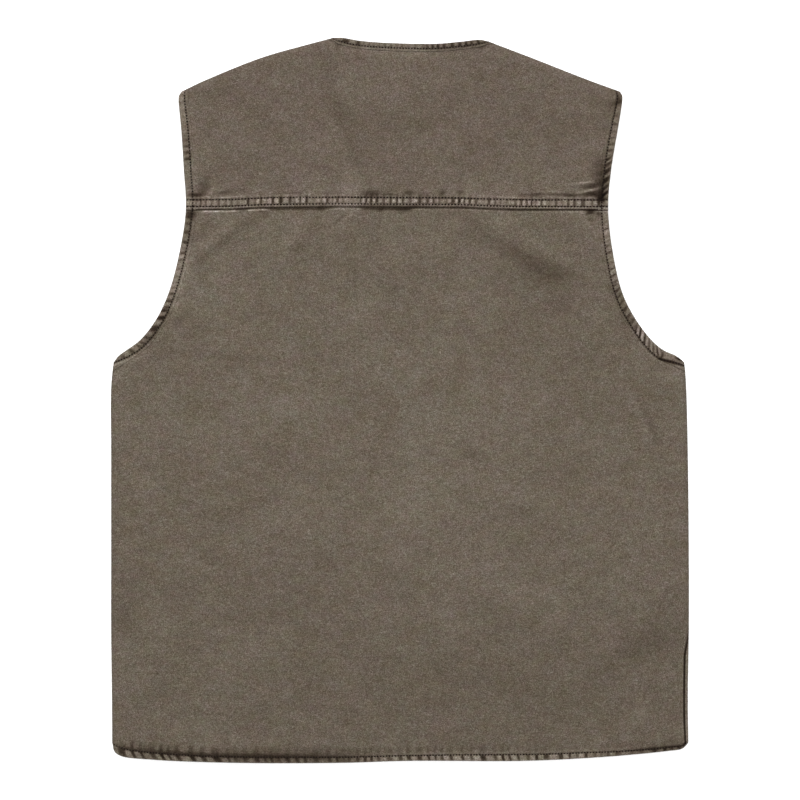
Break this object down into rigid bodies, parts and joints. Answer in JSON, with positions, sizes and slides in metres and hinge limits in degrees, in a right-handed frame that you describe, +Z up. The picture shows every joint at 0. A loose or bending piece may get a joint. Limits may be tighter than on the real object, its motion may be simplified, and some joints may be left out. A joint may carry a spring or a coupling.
{
  "type": "canvas work vest",
  "caption": "Sleeveless canvas work vest with a plain back yoke, turned and stitched armholes, neck and hem, lying flat on its front.",
  "frame": {"origin": "middle of the vest's box, on the surface that it lies on", "axes": "+X across the back towards the wearer's right, +Y from the hem towards the neck, +Z up out of the back"},
  "size_m": [0.5786, 0.7267, 0.0165],
  "materials": {
    "canvas": "washed and faded cotton canvas, brown grey",
    "canvas_hem": "turned and stitched cotton canvas, worn on the ridges and darker in the folds",
    "zip": "dark brown moulded teeth on woven tape"
  },
  "bodies": {
    "root": {"back_yoke": "canvas", "back_panel": "canvas", "front_left": "canvas", "front_right": "canvas", "armhole_hem_left": "canvas_hem", "armhole_hem_right": "canvas_hem", "neck_hem": "canvas_hem", "bottom_hem": "canvas_hem", "front_zip": "zip"}
  },
  "joints": []
}
